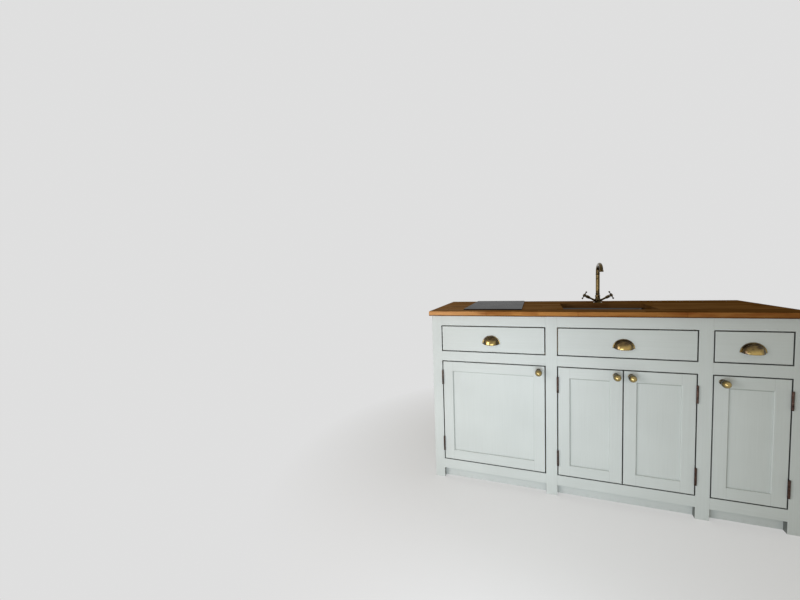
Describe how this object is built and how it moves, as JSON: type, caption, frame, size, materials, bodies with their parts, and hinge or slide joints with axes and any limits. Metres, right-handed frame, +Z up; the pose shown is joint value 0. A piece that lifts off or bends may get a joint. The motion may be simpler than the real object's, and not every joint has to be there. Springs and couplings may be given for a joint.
{
  "type": "fitted kitchen base cupboard run",
  "caption": "Low run of painted in-frame kitchen cupboards with panelled doors, drawers, an oak worktop, a glass hob and a two-handled tap over a sink bowl.",
  "frame": {"origin": "on the floor, in the middle of the length and of the whole depth", "axes": "+X along the front to the right, +Y from the front towards the wall, +Z up"},
  "size_m": [1.525, 0.634, 1.1245],
  "materials": {
    "sage_paint": "satin sage grey paint on timber",
    "plain_timber": "plain birch plywood",
    "oak": "oiled oak staves",
    "antique_brass": "antique brass",
    "dark_bronze": "dark bronzed brass",
    "steel": "satin stainless steel",
    "black_glass": "gloss black glass",
    "casing": "satin black sheet metal"
  },
  "bodies": {
    "cupboard": {"face_stiles": "sage_paint", "top_rails": "sage_paint", "middle_rails": "sage_paint", "bottom_rails": "sage_paint", "end_panel_left": "sage_paint", "end_panel_right": "sage_paint", "divisions": "plain_timber", "bottom_board": "plain_timber", "plinth_front": "sage_paint", "plinth_back": "plain_timber", "back_panel": "plain_timber", "back_rails": "plain_timber", "drawer_runners": "plain_timber", "drawer_guides": "plain_timber", "worktop": "oak", "sink_bowl": "steel", "sink_waste": "steel", "hob_glass": "black_glass", "hob_casing": "casing", "tap_body": "antique_brass", "cup_pull_middle": "antique_brass", "false_front": "sage_paint", "false_front_cleats": "plain_timber", "hinge_plates": "dark_bronze"},
    "drawer_left": {"drawer_left_front": "sage_paint", "drawer_left_box": "plain_timber", "cup_pull_left": "antique_brass"},
    "drawer_right": {"drawer_right_front": "sage_paint", "drawer_right_box": "plain_timber", "cup_pull_right": "antique_brass"},
    "door_left": {"door_left_frame": "sage_paint", "door_left_panel": "sage_paint", "door_left_knob": "antique_brass", "door_left_hinges": "dark_bronze"},
    "door_middle_left": {"door_middle_left_frame": "sage_paint", "door_middle_left_panel": "sage_paint", "door_middle_left_knob": "antique_brass", "door_middle_left_hinges": "dark_bronze"},
    "door_middle_right": {"door_middle_right_frame": "sage_paint", "door_middle_right_panel": "sage_paint", "door_middle_right_knob": "antique_brass", "door_middle_right_hinges": "dark_bronze"},
    "door_right": {"door_right_frame": "sage_paint", "door_right_panel": "sage_paint", "door_right_knob": "antique_brass", "door_right_hinges": "dark_bronze"},
    "tap_spout": {"tap_spout": "antique_brass"},
    "tap_handle_left": {"tap_handle_left": "antique_brass"},
    "tap_handle_right": {"tap_handle_right": "antique_brass"}
  },
  "joints": [
    {"name": "drawer_left_slide", "type": "slide", "parent": "cupboard", "child": "drawer_left", "axis": [0, -1, 0], "range_m": [0, 0.36]},
    {"name": "drawer_right_slide", "type": "slide", "parent": "cupboard", "child": "drawer_right", "axis": [0, -1, 0], "range_m": [0, 0.36]},
    {"name": "door_left_hinge", "type": "hinge", "parent": "cupboard", "child": "door_left", "pos_m": [-0.7, -0.2678, 0.37], "axis": [0, 0, -1], "range_deg": [0, 100]},
    {"name": "door_middle_left_hinge", "type": "hinge", "parent": "cupboard", "child": "door_middle_left", "pos_m": [-0.144, -0.2678, 0.37], "axis": [0, 0, -1], "range_deg": [0, 100]},
    {"name": "door_middle_right_hinge", "type": "hinge", "parent": "cupboard", "child": "door_middle_right", "pos_m": [0.396, -0.2678, 0.37], "axis": [0, 0, 1], "range_deg": [0, 100]},
    {"name": "door_right_hinge", "type": "hinge", "parent": "cupboard", "child": "door_right", "pos_m": [0.7, -0.2678, 0.37], "axis": [0, 0, 1], "range_deg": [0, 100]},
    {"name": "tap_spout_swivel", "type": "hinge", "parent": "cupboard", "child": "tap_spout", "pos_m": [0.089, 0.202, 0.95], "axis": [0, 0, 1], "range_deg": [-80, 80]},
    {"name": "tap_handle_left_turn", "type": "hinge", "parent": "cupboard", "child": "tap_handle_left", "pos_m": [0.02183, 0.202, 0.94223], "axis": [-0.8746, 0, 0.4848], "range_deg": [0, 90]},
    {"name": "tap_handle_right_turn", "type": "hinge", "parent": "cupboard", "child": "tap_handle_right", "pos_m": [0.15617, 0.202, 0.94223], "axis": [0.8746, 0, 0.4848], "range_deg": [0, 90]}
  ]
}
